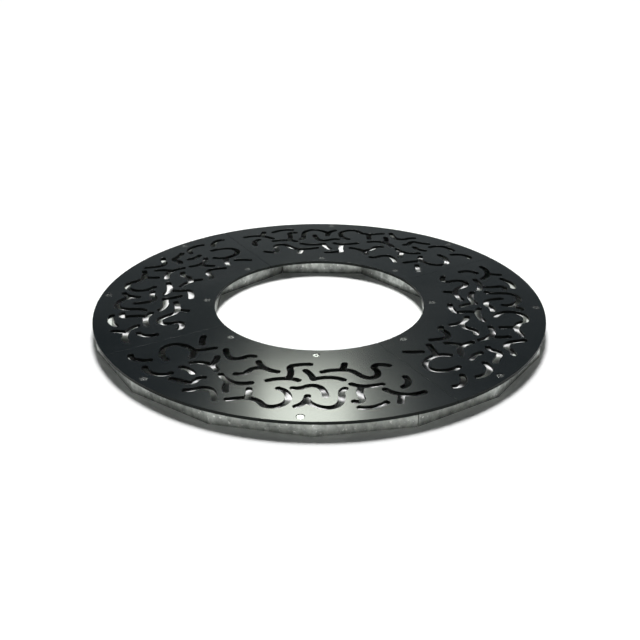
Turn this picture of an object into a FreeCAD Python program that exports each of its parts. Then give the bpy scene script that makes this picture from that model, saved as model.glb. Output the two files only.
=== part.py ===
import FreeCAD, Part
import cmath
import math
import os

# Steel tree grate: four slotted quarter plates, screwed to a galvanised frame of four quarters.
# Millimetres, +Z up. The origin is on the axis of the tree opening, at the underside of the frame.
# A quarter is drawn with its first frame joint along +X and its second along +Y, then turned into place.

# Overall sizes
plate_radius = 745.0            # outer edge of the round top, for a recess 1500 across
opening_radius = 350.0          # tree opening
plate_thickness = 10.0
frame_height = 40.0             # ground to the underside of the plates
first_joint = 22.5              # direction of the first frame joint, in degrees
seam_lag = 9.6                  # a plate seam lies this many degrees past its frame joint

# Plates
seam_gap = 1.0                  # between neighbouring plates
plate_corner = 3.0              # rounding of a plate's four corners
slot_width = 20.0
slot_end_flat = 2.0             # round ends of the slots fall this short of half circles

# Rims: angle sections, with the upright leg seen from outside and the flat leg under the plates
outer_sides = 16
inner_sides = 8
outer_setback = 2.0             # rim corners behind the plates' outer edge
inner_setback = 1.0             # middle of a rim side behind the plates' inner edge
section_thickness = 5.0
outer_leg = 45.0                # width of the outer rim's flat leg
inner_leg = 50.0                # width of the inner rim's flat leg
joint_gap = 3.0                 # between neighbouring frame quarters
weld_gap = 0.3                  # root gap where pieces are welded

# Tee bearers under the plate seams
bearer_width = 50.0
bearer_height = 35.0
bearer_web = 5.0

# Countersunk plate screws and their weld nuts
outer_screw_edge = 24.0         # from the plates' outer edge
inner_screw_edge = 29.0         # from the tree opening
outer_screw_spread = 20.0       # degrees either side of the frame quarter's middle
screw_diameter = 10.0
screw_head = 20.0
screw_head_land = 0.5           # straight rim of the head above its cone
screw_sink = 1.5                # head below the plate's face
screw_length = 25.0
screw_socket = 6.0              # hexagon socket, across flats
screw_socket_depth = 3.5
weld_nut_flats = 17.0
weld_nut_height = 8.0

# Bolted joint plates at the ends of the rim quarters
joint_plate = 6.0
ground_lift = 3.0               # joint plates above the ground
bolt_diameter = 10.0
bolt_length = 30.0
bolt_head_height = 6.4
bolt_nut_height = 8.0
washer_diameter = 20.0
washer_edge = 2.0               # washers past the flats of the bolts' heads and nuts
washer_thickness = 2.0

# Fits shared by the fasteners
hole_clearance = 0.5            # holes around a shank, on the radius
head_clearance = 0.2            # countersink around a screw head, on the radius
thread_clearance = 0.1          # nut bores around a shank, on the radius
end_chamfer = 1.0               # point of screws and bolts
through = 1.0                   # cutters stand this far past a face

# Centrelines of the slots in one plate, in thousandths of the plate's radius. The plate's middle lies
# along -Y. The first three points lie on one arc, and each later point ends an arc tangent to the last.
slot_paths = {
    "corner hook": [(-606, -679), (-599, -695), (-587, -704), (-512, -698)],
    "crook": [(-450, -681), (-481, -653), (-501, -603), (-449, -547), (-383, -578), (-364, -638)],
    "crook arm": [(-372, -580), (-336, -562), (-297, -538)],
    "bar": [(-381, -453), (-374, -489), (-361, -524)],
    "tick": [(-253, -540), (-239, -570), (-223, -594), (-192, -605), (-152, -578), (-120, -569)],
    "wishbone": [(-349, -679), (-307, -667), (-267, -676), (-229, -712)],
    "wishbone stem": [(-265, -605), (-260, -640), (-265, -671)],
    "fork": [(-204, -736), (-181, -761), (-149, -780), (-107, -784), (-68, -768)],
    "fork leg": [(-157, -780), (-156, -816), (-141, -855)],
    "brow": [(-376, -721), (-340, -731), (-311, -756)],
    "cup": [(-512, -756), (-488, -784), (-447, -799), (-392, -773)],
    "small tick": [(-379, -816), (-344, -819), (-311, -827), (-281, -806), (-256, -775)],
    "wave": [(-295, -883), (-273, -875), (-253, -860), (-187, -868), (-159, -920)],
    "spur": [(-93, -603), (-79, -627), (-56, -647), (5, -664)],
    "spur leg": [(-60, -649), (-93, -660), (-109, -687), (-152, -719)],
    "swan neck": [(113, -575), (80, -585), (51, -600), (44, -632), (56, -703)],
    "swan foot": [(-17, -739), (27, -713), (67, -704), (101, -709)],
    "check bar": [(104, -627), (132, -653), (152, -686)],
    "check arm": [(151, -688), (193, -662), (233, -655), (267, -662)],
    "cane": [(92, -768), (117, -763), (137, -747), (203, -747), (229, -796)],
    "snake": [(40, -783), (80, -805), (100, -851), (47, -916), (16, -905), (-32, -879), (-74, -885),
              (-121, -907)],
    "snake stem": [(-64, -812), (-55, -843), (-52, -879)],
    "bow": [(163, -807), (167, -833), (187, -857), (240, -873), (292, -820), (281, -763), (287, -720)],
    "bow leg": [(164, -829), (160, -861), (138, -892)],
    "serpent": [(171, -624), (207, -600), (253, -585), (299, -597), (340, -621), (384, -587),
                (365, -549), (375, -509), (415, -508)],
    "serpent stem": [(241, -536), (243, -562), (242, -587)],
    "branch": [(299, -684), (340, -690), (377, -680), (416, -656)],
    "branch stem": [(343, -692), (342, -718), (350, -748), (363, -777), (336, -803)],
    "sickle": [(365, -840), (407, -829), (439, -803), (456, -779)],
    "comma": [(487, -578), (508, -619), (494, -659)],
    "anchor": [(430, -690), (480, -709), (527, -705), (580, -671)],
    "anchor stem": [(500, -709), (500, -740), (504, -771)],
}

# Worked out from the sizes above
origin = FreeCAD.Vector(0, 0, 0)
up = FreeCAD.Vector(0, 0, 1)
quarters = 4
quarter_turn = 360.0 / quarters
drawing_turn = 90.0 + quarter_turn / 2      # from the slot drawing's -Y to the middle of a quarter
path_unit = plate_radius / 1000.0
top_level = frame_height + plate_thickness
leg_level = frame_height - section_thickness                 # underside of the rims' flat legs
outer_face = (plate_radius - outer_setback) * math.cos(math.pi / outer_sides)
inner_face = opening_radius + inner_setback
outer_screw_radius = plate_radius - outer_screw_edge
inner_screw_radius = opening_radius + inner_screw_edge
bolt_flats = washer_diameter - 2 * washer_edge               # of the bolts' heads and nuts
screw_places = [(outer_screw_radius, quarter_turn / 2 - outer_screw_spread),
                (outer_screw_radius, quarter_turn / 2 + outer_screw_spread),
                (inner_screw_radius, quarter_turn / 4),
                (inner_screw_radius, quarter_turn * 3 / 4)]


def on_circle(radius, degrees, level):
    angle = math.radians(degrees)
    return FreeCAD.Vector(radius * math.cos(angle), radius * math.sin(angle), level)


def turned(profile):
    # a solid of revolution about Z from points given as radius and height
    points = [FreeCAD.Vector(radius, 0, height) for radius, height in profile]
    return Part.Face(Part.makePolygon(points + points[:1])).revolve(origin, up, 360)


def hexagon(flats, height):
    corner = flats / 2 / math.cos(math.pi / 6)
    points = [on_circle(corner, 60 * side, 0) for side in range(7)]
    return Part.Face(Part.makePolygon(points)).extrude(up * height)


def placed(shape, quarter):
    # a copy of a quarter's piece, turned to its place in the grate
    piece = shape.copy()
    piece.rotate(origin, up, first_joint + quarter_turn * quarter)
    return piece


def at_screws(shape):
    # copies of a turned piece on the four screw axes of a quarter
    copies = []
    for radius, degrees in screw_places:
        piece = shape.copy()
        piece.translate(on_circle(radius, degrees, 0))
        copies.append(piece)
    return copies


# Slots

def direction(start, end):
    return (end - start) / abs(end - start)


def flat_arc(*points):
    return Part.Arc(*[FreeCAD.Vector(point.real, point.imag, 0) for point in points]).toShape()


def slot_cutter(points):
    # tangent arcs along the centreline, offset to both walls, with round ends
    path = [complex(x, y) * path_unit for x, y in points]
    half = slot_width / 2
    rise = half - slot_end_flat             # of a round end past its point
    start = path[0]
    heading = direction(path[0], path[1]) * direction(path[0], path[2]) / direction(path[1], path[2])
    edges = [flat_arc(start + 1j * half * heading, start - rise * heading, start - 1j * half * heading)]
    for end in path[2:]:
        chord = end - start
        middle_heading = direction(start, end)
        end_heading = middle_heading ** 2 / heading
        half_turn = cmath.phase(middle_heading / heading)
        middle = (start + end) / 2 - 0.5j * chord * math.tan(half_turn / 2)
        for wall in (1j * half, -1j * half):
            edges.append(flat_arc(start + wall * heading, middle + wall * middle_heading,
                                  end + wall * end_heading))
        start = end
        heading = end_heading
    edges.append(flat_arc(start + 1j * half * heading, start + rise * heading, start - 1j * half * heading))
    outline = Part.Wire(Part.__sortEdges__(edges))
    cutter = Part.Face(outline).extrude(up * (plate_thickness + 2 * through))
    cutter.translate(up * (frame_height - through))
    cutter.rotate(origin, up, drawing_turn)
    return cutter


# Plates

def countersink():
    # the hole around a plate screw; its cone runs on above the sunk head, up to the plate's face
    shank = screw_diameter / 2 + hole_clearance
    head = screw_head / 2 + head_clearance
    seat = top_level - screw_sink - screw_head_land - (head - shank)      # foot of the cone
    mouth = shank + top_level + through - seat
    return turned([(0, top_level + through), (mouth, top_level + through), (shank, seat),
                   (shank, frame_height - through), (0, frame_height - through)])


def quarter_plate():
    disc = Part.makeCylinder(plate_radius, plate_thickness, up * frame_height)
    opening = Part.makeCylinder(opening_radius, plate_thickness, up * frame_height)
    block = Part.makeBox(plate_radius, plate_radius, plate_thickness,
                         FreeCAD.Vector(seam_gap / 2, seam_gap / 2, frame_height))
    plate = disc.cut(opening).common(block)
    corners = [edge for edge in plate.Edges if abs(edge.tangentAt(edge.FirstParameter).z) > 0.9]
    plate = plate.makeFillet(plate_corner, corners)
    plate = plate.cut([slot_cutter(points) for points in slot_paths.values()])
    plate.rotate(origin, up, seam_lag)
    return plate.cut(at_screws(countersink()))


# Rims

def polygon_ring(sides, one_face, other_face, bottom, top):
    # a ring with flat sides, between two faces given by their distance from the axis
    prisms = []
    for face in sorted((one_face, other_face)):
        corner = face / math.cos(math.pi / sides)
        points = [on_circle(corner, 360.0 * side / sides, bottom) for side in range(sides + 1)]
        prisms.append(Part.Face(Part.makePolygon(points)).extrude(up * (top - bottom)))
    return prisms[1].cut(prisms[0])


def angle_ring(sides, face, inwards, leg, spare=0.0):
    # the whole rim; inwards is the way from its seen face into the frame, spare grows it as a cutter
    front = face - inwards * spare
    back = face + inwards * (section_thickness + spare)
    edge = face + inwards * (leg + spare)
    upright = polygon_ring(sides, front, back, 0, frame_height)
    flat = polygon_ring(sides, front, edge, leg_level - spare, frame_height)
    return upright.fuse(flat).removeSplitter()


def outer_ring(spare=0.0):
    return angle_ring(outer_sides, outer_face, -1, outer_leg, spare)


def inner_ring(spare=0.0):
    return angle_ring(inner_sides, inner_face, 1, inner_leg, spare)


def quarter_rim(ring):
    block = Part.makeBox(plate_radius, plate_radius, frame_height,
                         FreeCAD.Vector(joint_gap / 2, joint_gap / 2, 0))
    hole = Part.makeCylinder(screw_diameter / 2 + hole_clearance, frame_height)
    return ring.common(block).cut(at_screws(hole))


# Tee bearers

def bearer_bar(start, end, width, bottom, top):
    # a flat bar along the bearer's line; start and end are distances square to the rim sides it meets
    inner_reach = start / math.cos(math.radians(180.0 / inner_sides - seam_lag))
    outer_reach = end / math.cos(math.radians(180.0 / outer_sides - seam_lag))
    return Part.makeBox(outer_reach - inner_reach, width, top - bottom,
                        FreeCAD.Vector(inner_reach, -width / 2, bottom))


def bearer():
    # the flange ends at the rims' flat legs, and the web runs on under them to the upright legs
    flange = bearer_bar(inner_face + inner_leg / 2, outer_face - outer_leg / 2, bearer_width,
                        leg_level, frame_height)
    web = bearer_bar(inner_face + section_thickness / 2, outer_face - section_thickness / 2, bearer_web,
                     frame_height - bearer_height, leg_level)
    tee = flange.fuse(web).removeSplitter()
    tee.rotate(origin, up, seam_lag)
    return tee.cut([outer_ring(weld_gap), inner_ring(weld_gap)])


# Joint plates and their bolts

def joint_bolt_radius(sides, face, inwards, leg):
    # halfway along the flat leg that is left free at a corner of the rim
    return (face + inwards * (section_thickness + leg) / 2) / math.cos(math.pi / sides)


outer_bolt_radius = joint_bolt_radius(outer_sides, outer_face, -1, outer_leg)
inner_bolt_radius = joint_bolt_radius(inner_sides, inner_face, 1, inner_leg)
bolt_level = (ground_lift + leg_level) / 2


def joint_plates(bolt_radius, leg, ring):
    # the two end plates of one rim quarter, trimmed to the rim they are welded to
    blank = Part.makeBox(leg, joint_plate, leg_level - weld_gap - ground_lift,
                         FreeCAD.Vector(bolt_radius - leg / 2, joint_gap / 2, ground_lift))
    hole = Part.makeCylinder(bolt_diameter / 2 + hole_clearance, joint_gap + joint_plate,
                             FreeCAD.Vector(bolt_radius, 0, bolt_level), FreeCAD.Vector(0, 1, 0))
    first = blank.cut([ring, hole])
    return [first, first.mirror(origin, FreeCAD.Vector(1, -1, 0))]


def on_joint(shape, bolt_radius, offset):
    # lays a fastener's axis across the joint at +X; offset is its distance past the joint's middle
    piece = shape.copy()
    piece.rotate(origin, FreeCAD.Vector(1, 0, 0), -90)
    piece.translate(FreeCAD.Vector(bolt_radius, offset, bolt_level))
    return piece


# Fasteners, each drawn with its axis along Z

def plate_screw():
    # the head's face is at the level where it sits in the plate
    face = top_level - screw_sink
    shank = screw_diameter / 2
    cone_top = face - screw_head_land
    tip = face - screw_length
    body = turned([(0, face), (screw_head / 2, face), (screw_head / 2, cone_top),
                   (shank, cone_top - (screw_head / 2 - shank)), (shank, tip + end_chamfer),
                   (shank - end_chamfer, tip), (0, tip)])
    socket = hexagon(screw_socket, screw_socket_depth + through)
    socket.translate(up * (face - screw_socket_depth))
    return body.cut(socket)


def nut(flats, bore_diameter, height):
    bore = Part.makeCylinder(bore_diameter / 2 + thread_clearance, height)
    return hexagon(flats, height).cut(bore)


def washer():
    disc = Part.makeCylinder(washer_diameter / 2, washer_thickness)
    return disc.cut(Part.makeCylinder(bolt_diameter / 2 + hole_clearance, washer_thickness))


def joint_bolt():
    # the head's bearing face is at height 0, with the shank below it
    shank = bolt_diameter / 2
    body = turned([(0, 0), (shank, 0), (shank, end_chamfer - bolt_length),
                   (shank - end_chamfer, -bolt_length), (0, -bolt_length)])
    return hexagon(bolt_flats, bolt_head_height).fuse(body).removeSplitter()


# Build one quarter, and copy it around
weld_nut = nut(weld_nut_flats, screw_diameter, weld_nut_height)
weld_nut.translate(up * (leg_level - weld_nut_height))
clamped = joint_gap / 2 + joint_plate           # from the joint's middle to a joint plate's far face
stack = clamped + washer_thickness              # and on to the outside of the washer

quarter_pieces = {
    "top_plate": quarter_plate(),
    "outer_rim": quarter_rim(outer_ring()),
    "inner_rim": quarter_rim(inner_ring()),
    "bearer": bearer(),
}
shared_pieces = {
    "outer_joint_plates": joint_plates(outer_bolt_radius, outer_leg, outer_ring(weld_gap)),
    "inner_joint_plates": joint_plates(inner_bolt_radius, inner_leg, inner_ring(weld_gap)),
    "plate_screws": at_screws(plate_screw()),
    "weld_nuts": at_screws(weld_nut),
    "joint_bolts": [],
    "joint_washers": [],
    "joint_nuts": [],
}
for radius in (outer_bolt_radius, inner_bolt_radius):
    shared_pieces["joint_bolts"].append(on_joint(joint_bolt(), radius, stack))
    shared_pieces["joint_washers"].append(on_joint(washer(), radius, clamped))
    shared_pieces["joint_washers"].append(on_joint(washer(), radius, -stack))
    joint_nut = nut(bolt_flats, bolt_diameter, bolt_nut_height)
    shared_pieces["joint_nuts"].append(on_joint(joint_nut, radius, -stack - bolt_nut_height))

os.makedirs("parts", exist_ok=True)
for name, piece in quarter_pieces.items():
    for quarter in range(quarters):
        placed(piece, quarter).exportStep("parts/%s_%d.step" % (name, quarter + 1))
for name, pieces in shared_pieces.items():
    group = [placed(piece, quarter) for quarter in range(quarters) for piece in pieces]
    Part.makeCompound(group).exportStep("parts/%s.step" % name)
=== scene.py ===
import math
import bpy
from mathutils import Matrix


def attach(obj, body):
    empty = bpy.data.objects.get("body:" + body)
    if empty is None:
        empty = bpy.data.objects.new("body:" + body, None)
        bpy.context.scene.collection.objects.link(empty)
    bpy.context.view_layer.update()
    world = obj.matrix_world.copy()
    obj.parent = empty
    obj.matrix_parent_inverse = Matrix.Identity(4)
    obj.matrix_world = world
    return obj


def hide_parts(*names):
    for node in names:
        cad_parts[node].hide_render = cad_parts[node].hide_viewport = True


# Steel tree grate: dark slotted quarter plates on a galvanised frame, lying on a white floor.
# All in metres, in the same axes as the solids.

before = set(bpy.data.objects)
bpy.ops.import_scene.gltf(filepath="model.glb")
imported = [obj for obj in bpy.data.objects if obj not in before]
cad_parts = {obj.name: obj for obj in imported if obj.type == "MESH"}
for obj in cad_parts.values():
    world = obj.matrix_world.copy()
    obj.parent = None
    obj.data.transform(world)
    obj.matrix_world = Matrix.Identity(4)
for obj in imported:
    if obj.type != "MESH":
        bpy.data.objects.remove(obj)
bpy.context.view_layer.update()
scene = bpy.context.scene
scene.view_settings.view_transform = "Standard"
print("loaded", len(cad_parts), "nodes")


# Mesh helpers

cleanUp = {"weld": 0.000005, "flatAngle": 0.5, "flatWeight": 100}


def selectOnly(obj):
    bpy.ops.object.select_all(action="DESELECT")
    obj.select_set(True)
    bpy.context.view_layer.objects.active = obj


def copyOf(nodeName, name):
    # a loose copy of a solid's mesh, with its triangles welded and its flat faces joined again
    piece = bpy.data.objects.new(name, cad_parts[nodeName].data.copy())
    piece.data.name = name
    scene.collection.objects.link(piece)
    selectOnly(piece)
    bpy.ops.object.mode_set(mode="EDIT")
    bpy.ops.mesh.select_all(action="SELECT")
    bpy.ops.mesh.remove_doubles(threshold=cleanUp["weld"])
    bpy.ops.mesh.dissolve_limited(angle_limit=math.radians(cleanUp["flatAngle"]))
    bpy.ops.object.mode_set(mode="OBJECT")
    return piece


def softenEdges(piece, shape):
    # rounds the sharp edges only; the facets of curved walls stay under sharpAngle
    selectOnly(piece)
    bevel = piece.modifiers.new("edges", "BEVEL")
    bevel.width = shape["edge"]
    bevel.segments = shape["segments"]
    bevel.limit_method = "ANGLE"
    bevel.angle_limit = math.radians(shape["sharpAngle"])
    bevel.use_clamp_overlap = False
    bevel.miter_outer = "MITER_ARC"
    bpy.ops.object.modifier_apply(modifier=bevel.name)
    bpy.ops.object.shade_smooth()
    flat = piece.modifiers.new("flatFaces", "WEIGHTED_NORMAL")
    flat.weight = cleanUp["flatWeight"]
    bpy.ops.object.modifier_apply(modifier=flat.name)


def finishPiece(piece, material, slotName, *nodeNames):
    piece.data.materials.clear()
    piece.data.materials.append(material)
    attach(piece, "root")
    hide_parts(*nodeNames)


# Node helpers: a value is another node's socket, a number or a colour

def feed(tree, socket, value):
    if isinstance(value, bpy.types.NodeSocket):
        tree.links.new(value, socket)
    elif isinstance(value, tuple):
        socket.default_value = (*value, 1)
    else:
        socket.default_value = value


def newMaterial(name):
    material = bpy.data.materials.new(name)
    material.use_nodes = True
    return material, material.node_tree, material.node_tree.nodes["Principled BSDF"]


def objectSpot(tree):
    return tree.nodes.new("ShaderNodeTexCoord").outputs["Object"]


def splitAxes(tree, vector):
    split = tree.nodes.new("ShaderNodeSeparateXYZ")
    feed(tree, split.inputs["Vector"], vector)
    return split.outputs


def addNoise(tree, pattern, vector):
    # a pattern is scale, detail and roughness
    noise = tree.nodes.new("ShaderNodeTexNoise")
    for socketName, value in zip(("Scale", "Detail", "Roughness"), pattern):
        feed(tree, noise.inputs[socketName], value)
    feed(tree, noise.inputs["Vector"], vector)
    return noise.outputs["Fac"]


def addCells(tree, scale, vector):
    cells = tree.nodes.new("ShaderNodeTexVoronoi")
    feed(tree, cells.inputs["Scale"], scale)
    feed(tree, cells.inputs["Vector"], vector)
    return cells.outputs


def addRange(tree, value, fromMin, fromMax, toMin, toMax):
    remap = tree.nodes.new("ShaderNodeMapRange")
    remap.interpolation_type = "SMOOTHSTEP"
    feed(tree, remap.inputs["Value"], value)
    feed(tree, remap.inputs["From Min"], fromMin)
    feed(tree, remap.inputs["From Max"], fromMax)
    feed(tree, remap.inputs["To Min"], toMin)
    feed(tree, remap.inputs["To Max"], toMax)
    return remap.outputs["Result"]


def addMath(tree, operation, *values):
    node = tree.nodes.new("ShaderNodeMath")
    node.operation = operation
    for socket, value in zip(node.inputs, values):
        feed(tree, socket, value)
    return node.outputs["Value"]


def addMix(tree, factor, first, second):
    # mixes two colours
    node = tree.nodes.new("ShaderNodeMix")
    node.data_type = "RGBA"
    feed(tree, node.inputs["Factor"], factor)
    colours = [socket for socket in node.inputs if socket.type == "RGBA"]
    feed(tree, colours[0], first)
    feed(tree, colours[1], second)
    return [socket for socket in node.outputs if socket.type == "RGBA"][0]


def addBump(tree, height, strength, depth):
    bump = tree.nodes.new("ShaderNodeBump")
    feed(tree, bump.inputs["Strength"], strength)
    feed(tree, bump.inputs["Distance"], depth)
    feed(tree, bump.inputs["Height"], height)
    return bump.outputs["Normal"]


def addLevel(tree):
    # 1 on level faces, 0 on upright ones
    normal = tree.nodes.new("ShaderNodeNewGeometry").outputs["Normal"]
    return addMath(tree, "ABSOLUTE", splitAxes(tree, normal)["Z"])


def addSeen(tree):
    # 1 for what the camera sees, also as a reflection or through something clear
    path = tree.nodes.new("ShaderNodeLightPath").outputs
    seen = addMath(tree, "ADD", path["Is Camera Ray"], path["Is Glossy Ray"])
    return addMath(tree, "ADD", seen, path["Is Transmission Ray"])


# Edge wear and painted highlight on the rounded edges, as a node group

edgeWearAndHighlight = {"noiseDetail": 5, "noiseRoughness": 0.5, "noiseRange": (0.42, 0.66),
            "slopeRange": (0.06, 0.2)}


def makeEdgeMask():
    # 1 on the rounded edges between level and upright faces, broken up by noise
    group = bpy.data.node_groups.new("edgeMask", "ShaderNodeTree")
    group.interface.new_socket("Breakup", in_out="INPUT", socket_type="NodeSocketFloat")
    group.interface.new_socket("Mask", in_out="OUTPUT", socket_type="NodeSocketFloat")
    taken = group.nodes.new("NodeGroupInput").outputs
    given = group.nodes.new("NodeGroupOutput").inputs
    level = addLevel(group)
    slope = addMath(group, "MULTIPLY", level, addMath(group, "SUBTRACT", 1, level))
    pattern = (taken["Breakup"], edgeWearAndHighlight["noiseDetail"], edgeWearAndHighlight["noiseRoughness"])
    noise = addNoise(group, pattern, objectSpot(group))
    worn = addRange(group, noise, *edgeWearAndHighlight["noiseRange"], 0, 1)
    edge = addRange(group, slope, *edgeWearAndHighlight["slopeRange"], 0, 1)
    feed(group, given["Mask"], addMath(group, "MULTIPLY", edge, worn))
    return group


edgeMask = makeEdgeMask()


def addEdgeMask(tree, breakup):
    node = tree.nodes.new("ShaderNodeGroup")
    node.node_tree = edgeMask
    feed(tree, node.inputs["Breakup"], breakup)
    return node.outputs["Mask"]


# Finishes; clouds, peel, runs, specks and grain are noise patterns

powderCoat = {
    "base": (0.0017, 0.0042, 0.0060),
    "patch": (0.0027, 0.0052, 0.0070),
    "clouds": (4.0, 6, 0.6),
    "patchRange": (0.35, 0.65),
    # lighter rounded edges: partly wear, partly a painted highlight
    "worn": (0.012, 0.013, 0.013),
    "wornBreakup": 45.0,
    "roughness": (0.172, 0.197),
    "roughnessRange": (0.3, 0.7),
    "specular": 0.3,
    "cut": (0.0140, 0.0158, 0.0148),     # painted shade: upright sides made a dark, dull metal so they barely reflect the white floor
    "cutRange": (0.15, 0.5),
    "cutRoughness": 0.5,
    "peel": (300.0, 3, 0.5),
    "peelStrength": 0.012,
    "peelDepth": 0.0002,
}


def makePowderCoat():
    look = powderCoat
    material, tree, shader = newMaterial("satinPowderCoat")
    spot = objectSpot(tree)
    clouds = addNoise(tree, look["clouds"], spot)
    patches = addRange(tree, clouds, *look["patchRange"], 0, 1)
    colour = addMix(tree, patches, look["base"], look["patch"])
    # lighter rounded edges: partly wear, partly a painted highlight
    colour = addMix(tree, addEdgeMask(tree, look["wornBreakup"]), colour, look["worn"])
    # painted shade: upright faces become a dark, dull metal that barely reflects the white floor
    cut = addRange(tree, addLevel(tree), *look["cutRange"], 1, 0)
    feed(tree, shader.inputs["Base Color"], addMix(tree, cut, colour, look["cut"]))
    feed(tree, shader.inputs["Metallic"], cut)
    gloss = addRange(tree, clouds, *look["roughnessRange"], *look["roughness"])
    dull = addMath(tree, "MULTIPLY", cut, look["cutRoughness"])
    feed(tree, shader.inputs["Roughness"], addMath(tree, "MAXIMUM", gloss, dull))
    feed(tree, shader.inputs["Specular IOR Level"], look["specular"])
    peel = addNoise(tree, look["peel"], spot)
    bump = addBump(tree, peel, look["peelStrength"], look["peelDepth"])
    feed(tree, shader.inputs["Normal"], bump)
    return material


galvanised = {
    "dull": (0.28, 0.295, 0.28),
    "bright": (0.575, 0.597, 0.57),
    "spangle": 85.0,            # crystals to the metre
    "spangleShare": 0.3,
    "runs": (44.0, 4, 0.52),    # where the zinc ran off, drawn out upright
    "runStretch": 0.62,
    "runRange": (0.34, 0.68),
    "runShare": 0.7,
    "speck": (0.86, 0.87, 0.85),
    "specks": (130.0, 2, 0.5),
    "speckRange": (0.66, 0.74),
    "drip": 45.0,               # drops of zinc that set on the faces
    "dripRange": (0.09, 0.2),
    "dripShare": 0.7,
    # painted shade near the floor: its colour, strengths and heights
    "grime": (0.045, 0.047, 0.043),
    "film": 0.34,               # painted shade, darker towards the foot, for the shadowed floor the zinc reflects
    "filmHeight": 0.030,
    "foot": 0.32,
    "footHeight": 0.014,
    "washed": 0.75,             # share of the painted shade left on the lightest runs
    "washedRange": (0.3, 0.7),
    "roughness": (0.52, 0.34),  # on dull and on bright zinc
    "roughnessRange": (0.1, 0.9),
    "metallic": 0.75,
    "grain": (220.0, 4, 0.6),
    "grainShare": 0.25,
    "bumpStrength": 0.3,
    "bumpDepth": 0.0008,
}


def makeGalvanised():
    look = galvanised
    material, tree, shader = newMaterial("hotDipGalvanised")
    spot = objectSpot(tree)
    tone = tree.nodes.new("ShaderNodeSeparateColor")
    feed(tree, tone.inputs["Color"], addCells(tree, look["spangle"], spot)["Color"])
    crystals = addMath(tree, "MULTIPLY", tone.outputs["Red"], look["spangleShare"])
    stretch = tree.nodes.new("ShaderNodeMapping")
    stretch.inputs["Scale"].default_value = (1, 1, look["runStretch"])
    feed(tree, stretch.inputs["Vector"], spot)
    runs = addNoise(tree, look["runs"], stretch.outputs["Vector"])
    lightRuns = addRange(tree, runs, *look["runRange"], 0, look["runShare"])
    blend = addMath(tree, "ADD", crystals, lightRuns)
    colour = addMix(tree, blend, look["dull"], look["bright"])
    specks = addRange(tree, addNoise(tree, look["specks"], spot), *look["speckRange"], 0, 1)
    drips = addCells(tree, look["drip"], spot)["Distance"]
    drips = addRange(tree, drips, *look["dripRange"], 1, 0)
    specks = addMath(tree, "MAXIMUM", specks, addMath(tree, "MULTIPLY", drips, look["dripShare"]))
    colour = addMix(tree, specks, colour, look["speck"])
    # painted shade: darker towards the foot, standing in for the shadowed floor the zinc reflects
    # and the contact shadow
    height = splitAxes(tree, spot)["Z"]
    film = addRange(tree, height, 0, look["filmHeight"], look["film"], 0)
    foot = addRange(tree, height, 0, look["footHeight"], look["foot"], 0)
    washed = addRange(tree, runs, *look["washedRange"], 1, look["washed"])
    grime = addMath(tree, "MULTIPLY", addMath(tree, "ADD", film, foot), washed)
    feed(tree, shader.inputs["Base Color"], addMix(tree, grime, colour, look["grime"]))
    rough = addRange(tree, blend, *look["roughnessRange"], *look["roughness"])
    feed(tree, shader.inputs["Roughness"], rough)
    feed(tree, shader.inputs["Metallic"], look["metallic"])
    grain = addMath(tree, "MULTIPLY", addNoise(tree, look["grain"], spot), look["grainShare"])
    relief = addMath(tree, "ADD", grain, drips)
    bump = addBump(tree, relief, look["bumpStrength"], look["bumpDepth"])
    feed(tree, shader.inputs["Normal"], bump)
    return material


zincPlate = {
    "base": (0.25, 0.254, 0.252),
    "shade": (0.175, 0.179, 0.178),
    "clouds": (180.0, 5, 0.6),
    "roughness": (0.18, 0.25),
    "roughnessRange": (0.3, 0.7),
    "metallic": 1.0,
}


def makeZincPlate():
    look = zincPlate
    material, tree, shader = newMaterial("zincPlate")
    clouds = addNoise(tree, look["clouds"], objectSpot(tree))
    feed(tree, shader.inputs["Base Color"], addMix(tree, clouds, look["shade"], look["base"]))
    rough = addRange(tree, clouds, *look["roughnessRange"], *look["roughness"])
    feed(tree, shader.inputs["Roughness"], rough)
    feed(tree, shader.inputs["Metallic"], look["metallic"])
    return material


coatMaterial = makePowderCoat()
steelMaterial = makeGalvanised()
zincMaterial = makeZincPlate()
print("finishes made")


# Pieces: the solids with their edges rounded

plates = {"count": 4, "edge": 0.0002, "segments": 2, "sharpAngle": 40}
for number in range(1, plates["count"] + 1):
    node = "top_plate_%d" % number
    plate = copyOf(node, "slottedPlate%d" % number)
    softenEdges(plate, plates)
    finishPiece(plate, coatMaterial, "coated_plate", node)
    print(node, len(plate.data.polygons), "faces")

steelwork = {"starts": ("outer_", "inner_", "bearer", "weld_nuts"),
             "edge": 0.0005, "segments": 2, "sharpAngle": 15}
steelNodes = sorted(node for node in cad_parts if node.startswith(steelwork["starts"]))
for node in steelNodes:
    bar = copyOf(node, node.title().replace("_", "").replace("Rim", "RimBar"))
    softenEdges(bar, steelwork)
    finishPiece(bar, steelMaterial, "galvanised_frame", node)
print("steelwork", len(steelNodes))

fasteners = {"nodes": ("plate_screws", "joint_bolts", "joint_washers", "joint_nuts"),
             "edge": 0.0003, "segments": 2, "sharpAngle": 25}
for node in fasteners["nodes"]:
    fastener = copyOf(node, node.title().replace("_", ""))
    softenEdges(fastener, fasteners)
    finishPiece(fastener, zincMaterial, "zinc_fasteners", node)
print("fasteners done")


# Floor, light and camera

floorSet = {"size": 60.0, "seen": (1.0, 1.0, 1.0), "bounce": (0.35, 0.35, 0.35),
            "roughness": 1.0, "specular": 0.0}


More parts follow.
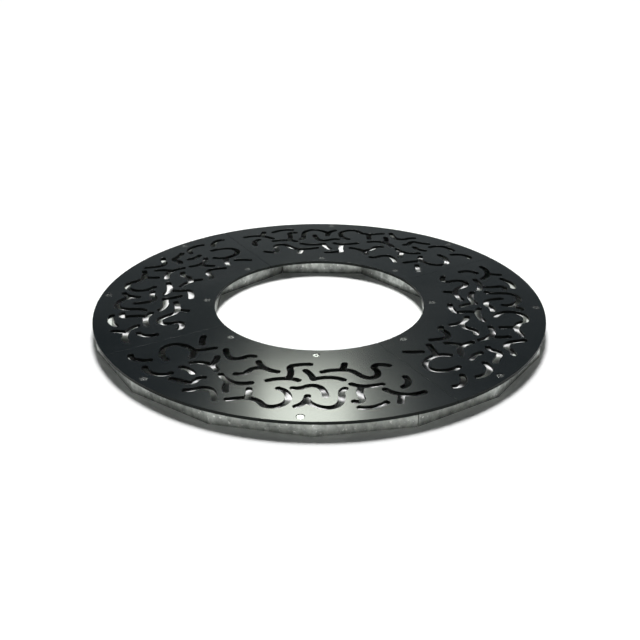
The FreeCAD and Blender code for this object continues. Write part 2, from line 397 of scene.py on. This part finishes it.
def makeFloor():
    bpy.ops.object.select_all(action="DESELECT")
    bpy.ops.mesh.primitive_plane_add(size=floorSet["size"], location=(0, 0, 0))
    floor = bpy.context.active_object
    floor.name = "floor"
    material, tree, shader = newMaterial("paleFloor")
    colour = addMix(tree, addSeen(tree), floorSet["bounce"], floorSet["seen"])
    feed(tree, shader.inputs["Base Color"], colour)
    feed(tree, shader.inputs["Roughness"], floorSet["roughness"])
    feed(tree, shader.inputs["Specular IOR Level"], floorSet["specular"])
    floor.data.materials.append(material)


makeFloor()

mainLight = {"strength": 3.4, "tilt": 32.2, "turn": 2.0, "angle": 16.5}


def addMainLight():
    # tilt is measured from overhead, turn from the back of the object
    sun = bpy.data.objects.new("mainLight", bpy.data.lights.new("mainLight", "SUN"))
    sun.data.energy = mainLight["strength"]
    sun.data.angle = math.radians(mainLight["angle"])
    sun.rotation_euler = (math.radians(-mainLight["tilt"]), 0, math.radians(mainLight["turn"]))
    scene.collection.objects.link(sun)


addMainLight()

# Panels: strip makes the highlight on the plates, halo softens its sides, front lights the near
# rim, and sheen shows only as gloss from the other sides. Turn 0 is the back, 180 the front.
panelAim = 0.7
panels = {
    "strip": {"turns": (0,), "place": -0.145, "distance": 4.0, "elevation": 37.6,
              "size": (0.66, 1.12), "power": 33.6, "colour": (0.94, 1.0, 0.89), "diffuse": True},
    "halo": {"turns": (0,), "place": -0.115, "distance": 4.05, "elevation": 37.6,
             "size": (1.32, 1.12), "power": 8.6, "colour": (0.94, 1.0, 0.89), "diffuse": True},
    "front": {"turns": (180,), "place": 0.0, "distance": 4.4, "elevation": 1.09,
              "size": (2.4, 0.16), "power": 37.0, "colour": (0.98, 1.0, 0.95), "diffuse": True},
    "sheen": {"turns": (90, 180, 270), "place": 0.0, "distance": 4.0, "elevation": 34.0,
              "size": (0.9, 1.12), "power": 20.0, "colour": (0.97, 1.0, 0.95), "diffuse": False},
}


def addPanel(name, panel, turn):
    # a soft panel beyond the grate, aimed at its near edge
    lamp = bpy.data.objects.new(name + "Panel", bpy.data.lights.new(name + "Panel", "AREA"))
    lamp.data.shape = "RECTANGLE"
    lamp.data.size, lamp.data.size_y = panel["size"]
    lamp.data.energy = panel["power"]
    lamp.data.color = panel["colour"]
    lamp.visible_diffuse = panel["diffuse"]
    rise = math.radians(panel["elevation"])
    spin = math.radians(turn)
    across = panel["place"]
    along = panel["distance"] * math.cos(rise) - panelAim
    lamp.location = (across * math.cos(spin) - along * math.sin(spin),
                     across * math.sin(spin) + along * math.cos(spin),
                     panel["distance"] * math.sin(rise))
    lamp.rotation_euler = (rise - math.pi / 2, 0, spin)
    scene.collection.objects.link(lamp)


for name, panel in panels.items():
    for turn in panel["turns"]:
        addPanel(name, panel, turn)

sky = {
    "colour": (0.93, 1.0, 0.985),
    "low": 0.42,                        # towards the horizon
    "high": 0.05,
    "heights": (0.28, 0.455),
    "front": 0.4,                       # share of it that is left in front
    "frontToBack": (-0.3, 0.5),
    "top": 0.9,                         # patch high at the back
    "topHeights": (0.5, 0.62),
    "topBack": (0.25, 0.6),
    "topAside": (0.05, 0.3),
    "horizonColour": (1.0, 1.0, 1.0),   # behind the floor's far edge
    "horizonHeights": (0.13, 0.2),
}


def makeSky():
    # dim in front, a little lighter towards the horizon at the back, lightest high at the back
    world = bpy.data.worlds.new("studio")
    world.use_nodes = True
    tree = world.node_tree
    axes = splitAxes(tree, tree.nodes.new("ShaderNodeTexCoord").outputs["Generated"])
    glow = addRange(tree, axes["Z"], *sky["heights"], sky["low"], sky["high"])
    back = addRange(tree, axes["Y"], *sky["frontToBack"], sky["front"], 1)
    glow = addMath(tree, "MULTIPLY", glow, back)
    top = addRange(tree, axes["Z"], *sky["topHeights"], 0, sky["top"])
    top = addMath(tree, "MULTIPLY", top, addRange(tree, axes["Y"], *sky["topBack"], 0, 1))
    aside = addMath(tree, "ABSOLUTE", axes["X"])
    top = addMath(tree, "MULTIPLY", top, addRange(tree, aside, *sky["topAside"], 1, 0))
    glow = addMath(tree, "ADD", glow, top)
    horizon = addRange(tree, axes["Z"], *sky["horizonHeights"], 1, 0)
    horizon = addMath(tree, "MULTIPLY", addSeen(tree), horizon)
    shade = tree.nodes["Background"]
    colour = addMix(tree, horizon, sky["colour"], sky["horizonColour"])
    feed(tree, shade.inputs["Color"], colour)
    feed(tree, shade.inputs["Strength"], addMath(tree, "MAXIMUM", glow, horizon))
    scene.world = world


makeSky()

view = {"eye": (0.0711, -2.7427, 1.3389), "tilt": 63.629, "turn": 1.434,
        "lens": 50.65, "sensor": 36.0}
camera = bpy.data.objects.new("camera", bpy.data.cameras.new("camera"))
camera.data.lens = view["lens"]
camera.data.sensor_width = view["sensor"]
camera.location = view["eye"]
camera.rotation_euler = (math.radians(view["tilt"]), 0, math.radians(view["turn"]))
scene.collection.objects.link(camera)
scene.camera = camera
print("light and camera set")
